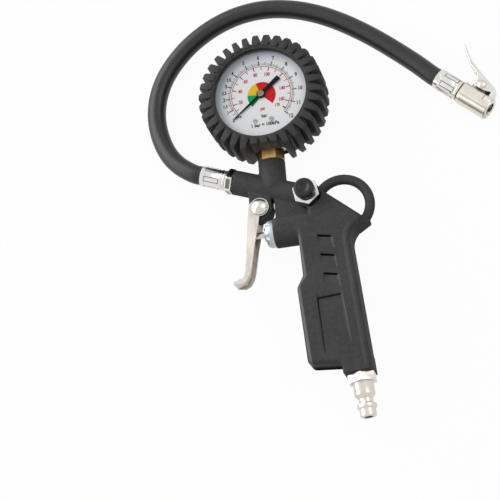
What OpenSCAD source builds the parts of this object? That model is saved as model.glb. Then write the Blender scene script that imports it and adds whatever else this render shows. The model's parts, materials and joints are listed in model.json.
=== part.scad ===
// Hand-held tyre inflator with a rubber-booted dial gauge, a hose and a clip-on chuck.
// It lies on its side: +X runs to the rear of the gun, +Y up its gauge stem, +Z up off the table.
// The origin is the centre of the gauge's back face.

/* [Gun body] */
// Height of the gun's middle plane and of the gauge stem above the table
mid_z = 11; // [10.5:0.1:12]
// Thickness of the cast grip
grip_t = 20; // [18:0.5:21]
// Radius on the long edges of the grip
grip_edge_r = 2.8; // [1.5:0.1:4]
// Lean of the grip away from the gauge stem
grip_rake = 4; // [0:0.2:6]
// Outside diameter of the manifold tube
manifold_d = 15.6; // [15.4:0.2:17]
// Tilt of the manifold, front end up
manifold_tilt = 21; // [18:0.5:24]
// Distance from the gauge stem's axis to the manifold's front end
manifold_front = 26.5; // [25:0.5:30]
// Outside diameter of the gauge port
port_d = 17; // [15.5:0.5:18]
// Height of the gauge port above the manifold's axis
port_h = 19.2; // [18:0.2:20]
// Outside diameter of the valve barrel
barrel_d = 19; // [18:0.5:20]
// Drop of the barrel's axis below the manifold's axis
barrel_drop = 28.4; // [27:0.2:30]
// Diameter of the bar of the hanging loop
loop_bar_d = 6.3; // [5:0.1:7]
// Centre-line radius of the hanging loop
loop_r = 17; // [16:0.2:18]
// Diameter of the main air passages
air_d = 8; // [6:0.5:9]

/* [Valve] */
// Diameter of the valve stem
stem_d = 4; // [3:0.2:5]
// Diameter of the threaded bore at the barrel's front
gland_d = 13; // [12:0.2:14]
// Diameter of the head of the gland nut
gland_head_d = 17.4; // [16:0.2:18]
// Travel of the valve stem
valve_travel = 2.5; // [1.5:0.1:3]
// Running clearance round a sliding or turning piece
run_gap = 0.05; // [0.03:0.01:0.08]
// Clearance between pieces that are screwed or dropped together
seat_gap = 0.1; // [0.05:0.05:0.2]

// Width across flats of the inlet plug
plug_af = 16; // [14:0.5:17]

/* [Trigger] */
// Outside width of the trigger channel
trigger_w = 14; // [13:0.5:15]
// Sheet thickness of the trigger
trigger_wall = 1.2; // [1:0.1:1.5]
// Diameter of the trigger's rivet
rivet_d = 5; // [4:0.2:5.6]

/* [Bleed valve] */
// Width across flats of the bleed valve's nut
bleed_af = 15; // [14:0.5:16]
// Diameter of the rubber button
button_d = 12.6; // [12:0.2:14]
// Travel of the button
button_travel = 2; // [1:0.1:2.2]

/* [Gauge] */
// Outside diameter of the gauge case
case_d = 63; // [60:0.5:64]
// Thickness of the rubber boot round the case
boot_wall = 3.1; // [2.6:0.1:4]
// Height of the boot's tread lugs
lug_depth = 5.4; // [4:0.2:6]
// Height of the boot from its back to its lip
boot_h = 32; // [31:0.2:34]
// Number of tread lugs
lug_n = 34; // [28:1:38]
// Width of a lug at its top
lug_top_w = 2.8; // [2.2:0.1:3.6]
// Width of a lug at its root
lug_root_w = 4.6; // [4:0.1:5.4]
// Depth of the dial below the boot's lip
dial_depth = 5; // [4.6:0.1:5.6]
// Width across flats of the brass stem
stem_af = 15; // [13:0.5:15]
// Length of the brass hexagon between the gun and the gauge
hex_l = 7.9; // [6:0.1:9]

/* [Hose and chuck] */
// Outside diameter of the hose
hose_d = 12; // [11:0.5:13]
// Outside diameter of a hose ferrule
ferrule_d = 13.2; // [13:0.2:14]
// Length of a hose ferrule
ferrule_l = 17; // [14:0.5:18]
// Radius of the chuck's mouth
mouth_r = 4.1; // [3.95:0.05:4.3]
// Depth of the chuck's mouth down to its seal
mouth_l = 10; // [8:0.5:11]
// Overall length of the chuck with its ferrule
chuck_l = 39; // [37:0.5:42]
// Width of the chuck body across its flat sides
chuck_w = 13.4; // [12.6:0.2:14]

/* [Hidden] */
$fn = 48;

black = "#3a3a3a";
nickel = "#d8d2c6";
zinc = "#c9ccd2";
brass = "#c8892f";
rubber = "#2c2c2c";
steel = "#b9bcc0";

// Barrel and its valve, measured along the barrel from the gauge stem's axis
barrel_front = -1.4;
barrel_y = -barrel_drop;
gland_l = 6.5;
cage_x = barrel_front + gland_l;
seat_x = 15;
seat_t = 3;
chamber_end = 38.5;
stem_tip_x = -16.4;
poppet_t = 3;
poppet_d = 8;
chamber_d = air_d + 2;

// Grip outline, in the leaning grip's own frame
grip_front_x = 10.3;
grip_rear_x = 42.4;
grip_end_y = -127;
plug_x = 34.3;
block_x = 24.9;
spine_w = 4.3;
cove_r = 11.2;
cove_y = -46;
recess_depth = 1.3;
recess_x = 23.3;
recess_y = -38.2;
recess_w = 8.4;
recess_h = 8;
recess_step = 12.35;
recess_slope = 0.28;

// Trigger pivot and the trigger's side outline
pivot = [-8.9, -11.9];
ear_r = 7.6;
ear_t = trigger_w - 2 * trigger_wall - 0.4;

// Manifold and bleed valve
bleed_s = 23.4;
boss_z = 8.6;
bleed_head_t = 4;
thread_d = 13.2;
nut_thread_d = 11.6;

// Gauge heights above its back face
case_r = case_d / 2;
boot_r = case_r + boot_wall + lug_depth;
gauge_rise = port_h + hex_l + 0.6 + case_r;
case_wall = 0.8;
boot_back = 2;
lip_t = 1;
dial_z = boot_h - dial_depth;
lens_t = 1.7;
bezel_z = 24;
window_r = case_r - 1.9;
pointer_z = dial_z + 0.6;
pinion_teeth = 10;
sector_teeth = 90;
gear_module = 0.4;
gear_distance = gear_module * (pinion_teeth + sector_teeth) / 2;
sector_angle = -60;

// Hose ends and route. The route's inner points are chosen by hand.
nut_head_l = 4.2;
nut_af = 14.6;
ferrule_s = manifold_front + nut_head_l + 0.3;
chuck_turn = -41.8;
chuck_x = 109.6;
chuck_z = chuck_w / 2;
lever_pivot = [26.9, 9.5];

function turned(p, a) = [p[0] * cos(a) - p[1] * sin(a), p[0] * sin(a) + p[1] * cos(a)];
function arc(centre, r, from, to, steps) =
    [for (i = [0:steps]) let (a = from + (to - from) * i / steps) centre + r * [cos(a), sin(a)]];
function unit(v) = v / norm(v);
function heading(path, i) = unit(path[min(i + 1, len(path) - 1)] - path[max(i - 1, 0)]);

hose_seat = 1.5;
gun_root = turned([-ferrule_s - hose_seat, 0], -manifold_tilt);
gun_end = turned([-ferrule_s - ferrule_l, 0], -manifold_tilt);
gun_dir = turned([-1, 0], -manifold_tilt);
chuck_dir = turned([1, 0], chuck_turn);
route = [
    [gun_root[0], gun_root[1] - gauge_rise, mid_z],
    [gun_end[0], gun_end[1] - gauge_rise, mid_z],
    [gun_end[0] + 5 * gun_dir[0], gun_end[1] + 5 * gun_dir[1] - gauge_rise, mid_z],
    [-55.5, -36, 10.2],
    [-61.8, -30, 9],
    [-67.2, -22, 7.8],
    [-71.2, -12, 6.8],
    [-73.4, -1.5, 6.2],
    [-73.6, 9, 6.1],
    [-71.4, 20.5, 6.1],
    [-66.4, 32, 6.1],
    [-57.8, 43.5, 6.1],
    [-46.2, 54, 6.1],
    [-31, 62.8, 6.1],
    [-14.2, 68, 6.1],
    [3.2, 69, 6.1],
    [20, 66, 6.1],
    [36, 60, 6.1],
    [50.4, 52, 6.1],
    [63.5, 42.8, 6.1],
    [75.5, 33, 6.2],
    [86.7, 22.8, 6.3],
    [97, 12.8, 6.5],
    [chuck_x - 5 * chuck_dir[0], -5 * chuck_dir[1], chuck_z],
    [chuck_x, 0, chuck_z],
    [chuck_x + (ferrule_l - hose_seat) * chuck_dir[0], (ferrule_l - hose_seat) * chuck_dir[1], chuck_z]
];

module in_gun() { translate([0, -gauge_rise, mid_z]) children(); }
module in_grip() { in_gun() rotate([0, 0, grip_rake]) children(); }
module in_manifold() { in_gun() rotate([0, 0, -manifold_tilt]) children(); }
module in_barrel() { in_gun() translate([0, barrel_y, 0]) children(); }
module in_chuck() { translate([chuck_x, 0, chuck_z]) rotate([0, 0, chuck_turn]) children(); }
module at_bleed() { in_manifold() translate([bleed_s, 0, 0]) children(); }
module x_rod(d, from, to) { translate([from, 0, 0]) rotate([0, 90, 0]) cylinder(d = d, h = to - from); }
module y_rod(d, from, to) { translate([0, from, 0]) rotate([-90, 0, 0]) cylinder(d = d, h = to - from); }
module ring(outer, inner, h) {
    difference() {
        cylinder(d = outer, h = h);
        translate([0, 0, -1]) cylinder(d = inner, h = h + 2);
    }
}
module x_ring(outer, inner, from, to) { translate([from, 0, 0]) rotate([0, 90, 0]) ring(outer, inner, to - from); }
module hexagon(flats, h) { cylinder(d = flats / cos(30), h = h, $fn = 6); }
module o_ring(r, wire) { rotate_extrude() translate([r, 0]) circle(d = wire, $fn = 24); }

// A round bar swept along a path, closed at both ends
module tube(path, r, sides) {
    n = len(path);
    points = [for (i = [0:n - 1])
        let (t = heading(path, i), s = unit(cross(t, [0, 0, 1])), u = cross(s, t))
        for (k = [0:sides - 1]) path[i] + r * (cos(360 * k / sides) * s + sin(360 * k / sides) * u)];
    ends = [[for (k = [0:sides - 1]) k], [for (k = [sides - 1:-1:0]) (n - 1) * sides + k]];
    walls = [for (i = [0:n - 2], k = [0:sides - 1])
        [i * sides + k, (i + 1) * sides + k, (i + 1) * sides + (k + 1) % sides, i * sides + (k + 1) % sides]];
    polyhedron(points, concat(ends, walls), convexity = 6);
}

// A compression spring standing on the plane z = 0
module spring(r, wire, h, turns) {
    steps = 12;
    rise = h - wire;
    tube([for (i = [0:turns * steps]) let (a = 360 * i / steps)
        [r * cos(a), r * sin(a), wire / 2 + rise * i / (turns * steps)]], wire / 2, 6);
}

// ---- Cast gun body ----

slab_outline = concat(
    [[barrel_front, barrel_y + 7.6], [barrel_front, barrel_y - 0.5]],
    arc([7.8, barrel_y - 6.5], 6, 90, 0, 5),
    [for (p = concat(
        [[grip_front_x, -61.5], [5.5, -68.5], [4.7, -115.4], [5.4, -116.6], [6.8, -117.4], [block_x, -120.2],
            [block_x, grip_end_y + 5], [grip_rear_x, grip_end_y + 5]],
        arc([grip_rear_x + cove_r, cove_y], cove_r, 180, 110, 7),
        [[52.5, -31.5]])) turned(p, grip_rake)],
    [[34.3, -10], [28.5, -5.2], [22, -8], [21, -20.8]]);

// The flat grip, with every edge rounded
module grip_slab() {
    minkowski() {
        translate([0, 0, grip_edge_r - grip_t / 2])
            linear_extrude(grip_t - 2 * grip_edge_r) offset(delta = -grip_edge_r) polygon(slab_outline);
        sphere(r = grip_edge_r, $fn = 20);
    }
}

// Square block at the foot of the grip that takes the inlet plug
module plug_block() rotate([0, 0, grip_rake])
    translate([block_x - 0.1, grip_end_y, -grip_t / 2]) cube([grip_rear_x + 0.5 - block_x, 10.7, grip_t]);

// The thick rear edge that carries the air channel and sweeps back into the horn
module spine() {
    edge_r = 1.9;
    cove = [grip_rear_x + cove_r, cove_y];
    rotate([0, 0, grip_rake]) {
        minkowski() {
            translate([0, 0, edge_r - mid_z]) linear_extrude(2 * (mid_z - edge_r)) offset(delta = -edge_r)
                polygon(concat([[grip_rear_x + 0.2 - spine_w, grip_end_y + 1], [grip_rear_x + 0.2, grip_end_y + 1]],
                    arc(cove, cove_r - 0.2, 180, 122, 9), arc(cove, cove_r - 0.2 + spine_w, 122, 180, 9)));
            sphere(r = edge_r, $fn = 16);
        }
        hull() {
            translate([55, -34.3, -3]) cylinder(r = 1.2, h = 6, $fn = 20);
            translate([51.6, -31.3, -6]) cylinder(r = 1.2, h = 12, $fn = 20);
            translate([46.8, -35.4, -8.4]) cylinder(r = 2, h = 16.8, $fn = 20);
            translate([45.8, -32.4, -7]) cylinder(r = 2, h = 14, $fn = 20);
        }
    }
}

// Thin web between barrel and manifold, with the ear that holds the trigger's rivet
module web() {
    web_t = 9;
    translate([0, 0, -web_t / 2]) linear_extrude(web_t)
        polygon([[barrel_front + 1.6, -2], [barrel_front + 1.6, barrel_y], [26, barrel_y], [29, -8], [18, -4]]);
    translate([pivot[0], pivot[1], -ear_t / 2]) {
        cylinder(r = ear_r, h = ear_t);
        linear_extrude(ear_t) polygon([[-ear_r + 1, 0], [ear_r - 0.4, 0], [ear_r - 0.4, 9], [-ear_r + 1, 11]]);
    }
}

module hanging_loop() {
    translate([42.1, -16.7, 0]) rotate([0, 0, -52]) rotate_extrude(angle = 200)
        translate([loop_r, 0]) circle(d = loop_bar_d, $fn = 32);
}

// Three finger marks and a panel, deep at the top and running out at the bottom
module grip_recesses() rotate([0, 0, grip_rake]) translate([0, 0, grip_t / 2]) {
    for (i = [0:2]) translate([recess_x, recess_y - recess_h - i * recess_step, 0])
        rotate([-atan(recess_depth / recess_h), 0, 0]) linear_extrude(3) polygon([[0, recess_h],
            [recess_w, recess_h - recess_slope * recess_w], [recess_w, -1 - recess_slope * recess_w], [0, -1]]);
    translate([0, -113, 0]) rotate([-atan(recess_depth / 35), 0, 0]) linear_extrude(3)
        polygon([[16.8, 35.3], [31.8, 35.1], [32.7, -1], [15.8, -1]]);
}

module gun_body() color(black) in_gun() difference() {
    union() {
        grip_slab();
        plug_block();
        spine();
        web();
        hanging_loop();
        translate([0, barrel_y, 0]) x_rod(barrel_d, barrel_front, 18);
        rotate([0, 0, -manifold_tilt]) {
            x_rod(manifold_d, -manifold_front, bleed_s + 2);
            translate([bleed_s, 0, 0.8 - boss_z]) cylinder(d = bleed_af + 1.6, h = 2 * boss_z - 0.8);
        }
        y_rod(port_d, 0, port_h);
    }
    // recesses in the grip's face
    grip_recesses();
    // manifold passage, hose thread and bleed seat
    rotate([0, 0, -manifold_tilt]) {
        x_rod(air_d, -manifold_front + 4, bleed_s - 2);
        x_rod(nut_thread_d, -manifold_front - 1, -manifold_front + 9);
        translate([bleed_s, 0, 0]) {
            translate([0, 0, -3]) cylinder(d = air_d - 1, h = 6);
            translate([0, 0, 1.6]) cylinder(d = 10.4, h = boss_z);
            translate([0, 0, boss_z]) cylinder(d = bleed_af + 3.4, h = 4);
        }
    }
    // gauge port
    y_rod(thread_d, port_h - 11, port_h + 1);
    y_rod(6, 0, port_h - 10);
    // valve barrel, seat shoulder and rear chamber
    translate([0, barrel_y, 0]) {
        x_rod(gland_d, barrel_front - 1, seat_x + seat_t);
        x_rod(chamber_d, seat_x, chamber_end);
    }
    // outlet passage up to the manifold
    translate([9, 0, 0]) y_rod(5, barrel_y, -3);
    // inlet channel down the grip
    rotate([0, 0, grip_rake]) translate([plug_x, 0, 0]) {
        y_rod(air_d, grip_end_y + 10, barrel_y - 2);
        y_rod(thread_d, grip_end_y - 1, grip_end_y + 12);
        y_rod(15.8, grip_end_y - 1, grip_end_y + 1.25);
    }
    translate([pivot[0], pivot[1], -ear_t]) cylinder(d = rivet_d + 2 * seat_gap, h = 2 * ear_t);
}

// ---- Trigger valve ----

module gland_nut() color(zinc) in_barrel() difference() {
    union() {
        x_rod(gland_d - 2 * seat_gap, barrel_front - 1, barrel_front + gland_l - 0.2);
        translate([barrel_front - 5, 0, 0]) rotate([0, 90, 0]) cylinder(d1 = gland_head_d - 2, d2 = gland_head_d, h = 2);
        x_rod(gland_head_d, barrel_front - 3, barrel_front);
        x_rod(8.4, barrel_front - 6.6, barrel_front - 4);
    }
    x_rod(stem_d + 2 * run_gap, barrel_front - 10, barrel_front + gland_l + 1);
    x_rod(stem_d + 3, barrel_front + 2.4, barrel_front + gland_l + 1);
    for (a = [0:60:300]) rotate([a, 0, 0]) translate([barrel_front - 5.5, gland_head_d / 2 + 0.6, 0])
        rotate([0, 90, 0]) cylinder(d = 4, h = 2.6, $fn = 24);
}

module stem_seal() color(rubber) in_barrel()
    x_ring(stem_d + 2.8, stem_d + 2 * run_gap, barrel_front + 2.5, barrel_front + 4.5);

// Slotted sleeve that carries the seat and holds it down under the gland nut
module valve_cage() color(brass) in_barrel() difference() {
    x_rod(gland_d - 2 * seat_gap, cage_x, seat_x + seat_t - 0.1);
    x_rod(gland_d - 3, cage_x - 1, seat_x);
    x_rod(stem_d + 2.4, seat_x - 1, seat_x + seat_t + 1);
    for (a = [0, 90]) rotate([a, 0, 0]) translate([cage_x + 1.5, -gland_d, -2.5])
        cube([seat_x - cage_x - 3, 2 * gland_d, 5]);
}

module valve_stem() color(nickel) in_barrel() {
    x_rod(stem_d, stem_tip_x + stem_d / 2, seat_x + seat_t + 0.1 + poppet_t);
    translate([stem_tip_x + stem_d / 2, 0, 0]) sphere(d = stem_d, $fn = 32);
    x_rod(poppet_d, seat_x + seat_t + 1.3, seat_x + seat_t + 1.3 + poppet_t);
    x_rod(3, seat_x + seat_t + 1.3, seat_x + seat_t + 3 + poppet_t);
}

module poppet_seal() color(rubber) in_barrel()
    x_ring(poppet_d, stem_d + 0.2, seat_x + seat_t + 0.1, seat_x + seat_t + 1.2);

module valve_spring() color(steel) in_barrel()
    translate([seat_x + seat_t + 1.5 + poppet_t, 0, 0]) rotate([0, 90, 0])
        spring(2.9, 0.8, chamber_end - seat_x - seat_t - 1.7 - poppet_t, 6);

module inlet_plug() color(nickel) in_grip() translate([plug_x, grip_end_y - 0.06, 0]) rotate([90, 0, 0]) difference() {
    union() {
        rotate([0, 0, 30]) hexagon(plug_af, 5.4);
        translate([0, 0, -11]) cylinder(d = thread_d - 2 * seat_gap, h = 11.5);
        rotate_extrude() polygon([[0, 5], [6.6, 5], [6.6, 5.9], [6.3, 6.4], [6.3, 13.2], [4.3, 15.2], [4.3, 18],
            [6, 18.8], [6, 20.8], [5, 21.6], [5, 25.8], [4.4, 26.4], [0, 26.4]]);
    }
    translate([0, 0, -12]) cylinder(d = 5.6, h = 50);
}

module inlet_seal() color(rubber) in_grip() translate([plug_x, grip_end_y + 1.2, 0]) rotate([90, 0, 0])
    ring(15.6, thread_d + 2 * seat_gap, 1.2);

// ---- Trigger ----

trigger_side = [[-15.9, -11], [-21, -52.5], [-23.2, -56.4], [-28.9, -58], [-29, -59.2], [-23.8, -60],
    [-20.6, -58.6], [-18.2, -55], [-17, -51.4], [-13.7, -35.5], [-9.2, -17.3]];

// Pressed channel with two ears, a front plate and a curled finger tip
module trigger() color(nickel) in_gun() difference() {
    union() {
        for (side = [-1, 1]) translate([0, 0, side * (trigger_w - trigger_wall) / 2 - trigger_wall / 2]) {
            linear_extrude(trigger_wall) polygon(trigger_side);
            translate([pivot[0], pivot[1], 0]) cylinder(r = 6, h = trigger_wall);
            linear_extrude(trigger_wall)
                polygon([[-15.9, -11], [-15.3, -9.4], [-13, -7.6], pivot, [-9.2, -17.3], [-14, -22]]);
        }
        translate([0, 0, -trigger_w / 2]) linear_extrude(trigger_w)
            polygon([[-16.9, -21], [-21, -52.5], [-23.2, -56.4], [-28.9, -58], [-29, -59.2], [-22.7, -57.8],
                [-19.8, -53], [-15.7, -21]]);
    }
    translate([pivot[0], pivot[1], -trigger_w]) cylinder(d = rivet_d + 2 * run_gap, h = 2 * trigger_w);
}

module trigger_rivet() color(nickel) in_gun() translate([pivot[0], pivot[1], 0]) {
    head_z = trigger_w / 2 + 0.1;
    translate([0, 0, -head_z - 0.5]) cylinder(d = rivet_d, h = 2 * head_z + 1);
    for (side = [0, 1]) mirror([0, 0, side]) translate([0, 0, head_z]) rotate_extrude()
        polygon(concat([[0, 0], [5.2, 0], [5.2, 0.5]], arc([0, -4.2], 7, 41, 90, 6)));
}

// ---- Bleed valve ----

bleed_top = boss_z + bleed_head_t;

module bleed_nut() color(nickel) at_bleed() difference() {
    union() {
        translate([0, 0, boss_z + 0.02]) intersection() {
            hexagon(bleed_af, bleed_head_t);
            cylinder(r1 = bleed_af / 2 + 3, r2 = bleed_af / 2 + 0.2, h = bleed_head_t + 1.4);
        }
        translate([0, 0, 5]) cylinder(d = 10.2, h = boss_z - 4);
        cylinder(d = 9, h = bleed_top + 1.6);
    }
    translate([0, 0, -1]) cylinder(d = 3 + 2 * run_gap, h = 30);
    translate([0, 0, 4.5]) cylinder(d = 7, h = 20);
    translate([0, 0, -5]) cylinder(d = 20, h = 7);
}

module bleed_pin() color(steel) at_bleed() {
    translate([0, 0, -0.4]) cylinder(d = 3, h = bleed_top + 4.2);
    translate([0, 0, -0.4]) cylinder(d = 6.4, h = 1.2);
    translate([0, 0, bleed_top + 0.4]) cylinder(d = 6.2, h = 1);
}

module bleed_seal() color(rubber) at_bleed() translate([0, 0, 0.85]) ring(6.2, 3 + 0.04, 1.1);

module bleed_spring() color(steel) at_bleed() translate([0, 0, 4.6]) spring(2.6, 0.7, bleed_top - 4.3, 5);

module bleed_button() color(rubber) at_bleed() difference() {
    crown = 1.1;
    skirt_z = bleed_top + button_travel + 0.2;
    union() {
        translate([0, 0, bleed_top + 0.1 + button_travel]) cylinder(d = button_d, h = 3.1);
        translate([0, 0, skirt_z + 3]) rotate_extrude()
            polygon(concat([[0, 0], [button_d / 2, 0]], arc([button_d / 2 - 1.6, 0.1], 1.6, 0, 80, 5), [[0, 1.6 + crown]]));
    }
    translate([0, 0, 0]) cylinder(d = 9.6, h = bleed_top + 1.7 + button_travel);
    translate([0, 0, 0]) cylinder(d = 3 + 0.04, h = bleed_top + 3.9);
}

// ---- Gauge ----

tube_r = 26;
tube_z = mid_z - 1.5;
frame_z = 14.4;
top_plate_z = 20;
pillar_x = [-5.2, 5.2];
pillar_y = -17.5;
stop_r = 19.5;
pointer_angle = 218;
stop_angle = pointer_angle + 3.2;
sector_pivot = gear_distance * [cos(sector_angle), sin(sector_angle)];

module tube_arc(from, to, extra) {
    w = 1.1 + extra;
    h = 3.7 + extra;
    translate([0, 0, tube_z]) rotate([0, 0, from]) rotate_extrude(angle = to - from) translate([tube_r, 0])
        polygon([[-w, 0.8 - h], [0.6 - w, -h], [w - 0.6, -h], [w, 0.8 - h], [w, h - 0.8], [w - 0.6, h],
            [0.6 - w, h], [-w, h - 0.8]]);
}

// Hexagon and port thread outside the case, neck through its wall, socket block inside
module gauge_stem() color(brass) difference() {
    union() {
        translate([0, 0, mid_z]) {
            y_rod(thread_d - 2 * seat_gap, port_h - gauge_rise - 9, port_h - gauge_rise + 1);
            translate([0, port_h - gauge_rise + 0.02, 0]) rotate([-90, 0, 0])
                hexagon(stem_af, gauge_rise - port_h - case_r - 0.6);
            y_rod(10, -case_r - 1, -26);
        }
        translate([-7, -29, 4.4]) cube([14, 8, frame_z - 4.42]);
    }
    translate([0, 0, mid_z]) y_rod(3, port_h - gauge_rise - 12, -25);
    tube_arc(-110, -101, 0.06);
}

module gauge_case() color(steel) difference() {
    translate([0, 0, boot_back + 0.1]) cylinder(d = case_d, h = bezel_z - boot_back - 0.1);
    translate([0, 0, boot_back + 1.1]) cylinder(d = case_d - 2 * case_wall, h = bezel_z);
    translate([0, 0, mid_z]) y_rod(10 + 2 * seat_gap, -case_d, -case_r / 2);
}

// Tread lug: a side profile cut to a drafted wedge
module lug() {
    root = case_r + boot_wall - 1.1;
    tip = boot_r;
    inner = window_r + 1;
    intersection() {
        rotate([90, 0, 0]) translate([0, 0, -lug_root_w]) linear_extrude(2 * lug_root_w)
            polygon([[root, 1.2], [root + 1.6, 0.9], [tip - 0.6, 5], [tip, 7], [tip, boot_h - 3], [tip - 1.5, boot_h - 0.7],
                [tip - 4, boot_h + 0.2], [inner + 0.7, boot_h + 0.7], [inner, boot_h - 0.3], [root, boot_h - 3]]);
        linear_extrude(boot_h + 2) polygon([[inner - 1, -1.6], [root, -lug_root_w / 2], [tip + 1, 0.1 - lug_top_w / 2],
            [tip + 1, lug_top_w / 2 - 0.1], [root, lug_root_w / 2], [inner - 1, 1.6]]);
    }
}

// Moulded boot round the case, with a lip over the bezel
module gauge_boot() color(rubber) difference() {
    outer = case_r + boot_wall;
    notch_w = port_d + 3.6;
    union() {
        rotate_extrude($fn = 96) polygon([[0, 0], [outer - 2.5, 0], [outer, 3], [outer, boot_h - 3],
            [outer - 1.9, boot_h - 1.4], [case_r + 0.8, boot_h - 0.2], [window_r + 0.4, boot_h], [window_r, boot_h - 0.4],
            [window_r, boot_h - lip_t], [case_r + 0.05, boot_h - lip_t], [case_r + 0.05, boot_back], [0, boot_back]]);
        for (i = [0:lug_n - 1]) rotate([0, 0, 360 * (i + 0.5) / lug_n]) lug();
    }
    // notch round the stem and the gauge port, open to the back
    translate([0, 0, mid_z]) y_rod(notch_w, -2 * boot_r, -case_r + 3);
    translate([-notch_w / 2, -2 * boot_r, boot_back]) cube([notch_w, 2 * boot_r - case_r + 3, mid_z - boot_back]);
    translate([-notch_w / 2, -2 * boot_r, -1]) cube([notch_w, 2 * boot_r - case_r - 0.2, mid_z]);
    // the lugs over the brass stem stop at the wall
    translate([-9, -outer - 20, 0]) cube([18, 20, boot_h + 2]);
}

module bezel_ring() color(black) difference() {
    bore_top = dial_z + 1.95 + lens_t;
    translate([0, 0, bezel_z + 0.02]) cylinder(d = case_d, h = boot_h - lip_t - bezel_z - 0.07);
    translate([0, 0, bezel_z - 1]) cylinder(d = case_d - 2 * case_wall, h = bore_top - bezel_z + 1);
    translate([0, 0, bezel_z]) cylinder(r = window_r - 0.2, h = boot_h);
}

module lens_spacer() color(black) translate([0, 0, dial_z + 0.02])
    ring(case_d - 2 * case_wall - 0.1, 2 * window_r - 0.4, 1.86);

module gauge_lens() color("#dfe8ec", 0.35) translate([0, 0, dial_z + 1.9])
    cylinder(d = case_d - 2 * case_wall - 0.1, h = lens_t);

module dial_plate() color("white") translate([0, 0, dial_z - 0.8]) difference() {
    cylinder(d = case_d - 2 * case_wall - 0.2, h = 0.8);
    translate([0, 0, -1]) cylinder(d = 3, h = 3);
    for (x = pillar_x) translate([x, pillar_y, -1]) cylinder(d = 1.8, h = 3);
    translate([stop_r * cos(stop_angle), stop_r * sin(stop_angle), -1]) cylinder(d = 1.1, h = 3);
}

module dial_screws() color(steel) for (x = pillar_x) translate([x, pillar_y, 0]) {
    translate([0, 0, dial_z - 4]) cylinder(d = 1.7, h = 4.1);
    difference() {
        translate([0, 0, dial_z + 0.02]) cylinder(d = 2.9, h = 0.5);
        translate([-2, -0.25, dial_z + 0.3]) cube([4, 0.5, 1]);
    }
}

module stop_pin() color(brass) translate([stop_r * cos(stop_angle), stop_r * sin(stop_angle), dial_z - 0.8])
    cylinder(d = 1, h = 2.4);

// C-shaped flattened pressure tube, from the socket block round to its closed tip
module bourdon_tube() color(brass) tube_arc(-398, -102, 0);

// Two plates and four pillars on the socket block
module movement_frame() color(brass) difference() {
    union() {
        for (z = [frame_z, top_plate_z]) translate([0, 0, z]) linear_extrude(1) polygon([[-3.8, 1.4], [-2, 3.8],
            [2, 3.8], [4.2, 1.4], [14.4, -15.6], [14.8, -19], [12, -22.6], [-6.8, -23], [-8.6, -20]]);
        for (x = pillar_x) translate([x, pillar_y, frame_z + 0.5]) cylinder(d = 3.2, h = dial_z - frame_z - 1.32);
    }
    translate([0, 0, frame_z - 1]) cylinder(d = 2 + 2 * run_gap, h = 9);
    translate([sector_pivot[0], sector_pivot[1], frame_z - 1]) cylinder(d = 2 + 2 * run_gap, h = 9);
    for (x = pillar_x) translate([x, pillar_y, dial_z - 5]) cylinder(d = 1.8, h = 6);
}

function tooth(r_root, r_tip, a, root_w, tip_w) = [
    turned([r_root, -root_w], a), turned([r_tip, -tip_w], a), turned([r_tip, tip_w], a), turned([r_root, root_w], a)];

// Toothed quadrant on its own pivot
module sector_gear() color(brass) translate([sector_pivot[0], sector_pivot[1], 0]) {
    r = gear_module * sector_teeth / 2;
    translate([0, 0, frame_z - 0.6]) cylinder(d = 2, h = top_plate_z - frame_z + 2.2);
    translate([0, 0, 16.1]) cylinder(r = 2.6, h = 2);
    translate([0, 0, 16.6]) linear_extrude(1) polygon(concat([[0, 0]],
        [for (k = [-9:1], p = tooth(r - 0.6, r + 0.3, 180 + sector_angle + 4 * (k + 0.5), 0.34, 0.12)) p]));
}

module pinion_shaft() color(steel) {
    r = gear_module * pinion_teeth / 2;
    translate([0, 0, frame_z - 0.6]) cylinder(d = 2, h = pointer_z + 1 - frame_z);
    translate([0, 0, 15.8]) linear_extrude(2.6) polygon(
        [for (k = [0:pinion_teeth - 1], p = tooth(r - 0.5, r + 0.3, sector_angle + 36 * k, 0.34, 0.13)) p]);
}

// Tapered needle with a wide tail
module pointer() color(black) translate([0, 0, pointer_z]) rotate([0, 0, pointer_angle]) difference() {
    linear_extrude(0.4) polygon(concat([[22.5, -0.25], [22.5, 0.25]], arc([0, 0], 2.8, 18, 157, 14),
        [[-15.5, 1.6], [-15.5, -1.6]], arc([0, 0], 2.8, 203, 342, 14)));
    translate([0, 0, -1]) cylinder(d = 2 + 2 * seat_gap, h = 3);
}

module pointer_hub() color(brass) difference() {
    translate([0, 0, pointer_z + 0.42]) cylinder(d = 4.2, h = 0.75);
    translate([0, 0, pointer_z]) cylinder(d = 2 + 0.06, h = 0.9);
    translate([0, 0, pointer_z + 0.95]) rotate([0, 0, 30]) translate([-3, -0.35, 0]) cube([6, 0.7, 1]);
}

// ---- Hose ----

ferrule_wall = 0.55;
barb_d = 6.2;

module hose_nut() color(nickel) in_manifold() difference() {
    front = -manifold_front;
    union() {
        x_rod(nut_thread_d - 2 * seat_gap, front - 1, front + 8);
        translate([front - nut_head_l, 0, 0]) rotate([0, 90, 0]) intersection() {
            hexagon(nut_af, nut_head_l - 0.02);
            cylinder(d1 = nut_af + 1.2, d2 = nut_af + 6, h = nut_head_l);
        }
        x_rod(barb_d, -ferrule_s - ferrule_l + 2, front - 1);
    }
    x_rod(3.6, -ferrule_s - ferrule_l, front + 9);
}

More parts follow.
